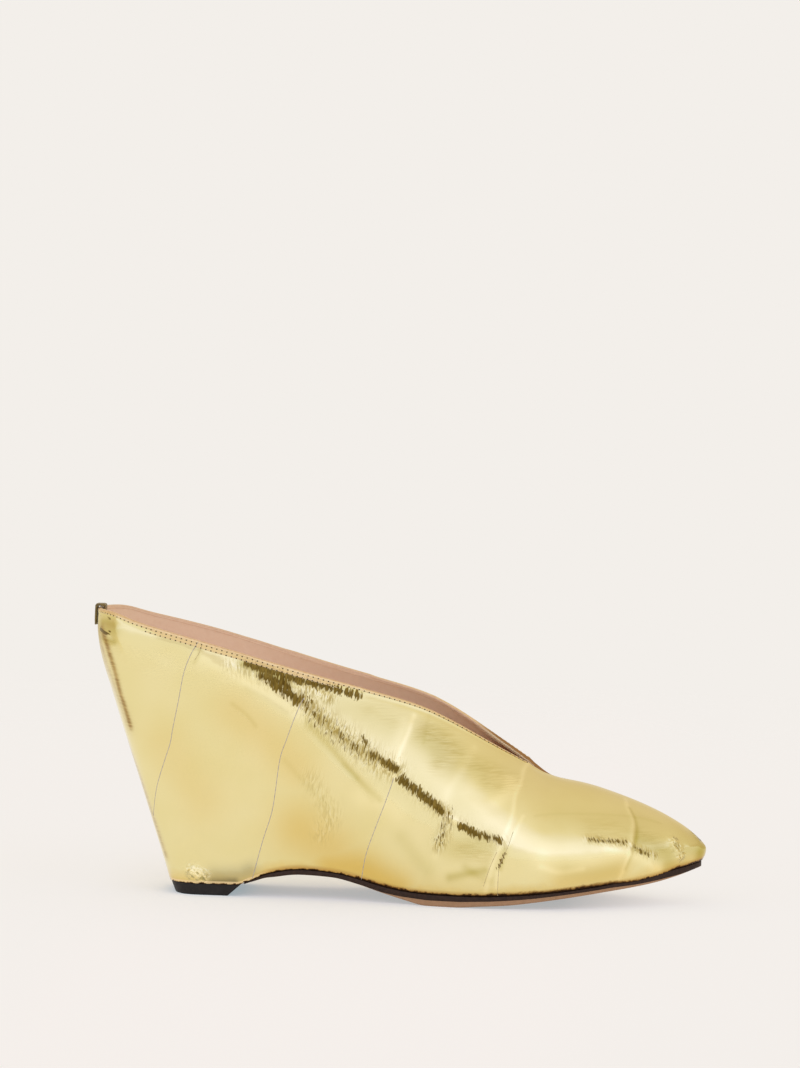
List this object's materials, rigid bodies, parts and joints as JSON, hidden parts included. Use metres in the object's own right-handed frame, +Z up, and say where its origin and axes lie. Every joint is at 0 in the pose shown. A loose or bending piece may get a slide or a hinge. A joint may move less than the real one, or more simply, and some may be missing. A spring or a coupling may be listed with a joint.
{
  "type": "wedge mule",
  "caption": "Pointed high wedge mule with a V-shaped throat, covered in metallic foil leather from the collar down over the wedge.",
  "frame": {"origin": "on the floor, under the middle of the shoe's bounding box", "axes": "+X from heel to toe, +Z up from the floor, +Y to the inner side of the right foot"},
  "size_m": [0.242, 0.0742, 0.1115],
  "materials": {
    "upper": "metallic gold foil, crinkled, glossy",
    "wedge": "plain core, hidden under the cover",
    "insole": "smooth lining leather",
    "outsole": "burnished leather with a dark painted edge",
    "top_lift": "satin black",
    "back_tab": "dark folded strip"
  },
  "bodies": {
    "root": {"upper": "upper", "wedge": "wedge", "insole": "insole", "outsole": "outsole", "top_lift": "top_lift", "back_tab": "back_tab"}
  },
  "joints": []
}
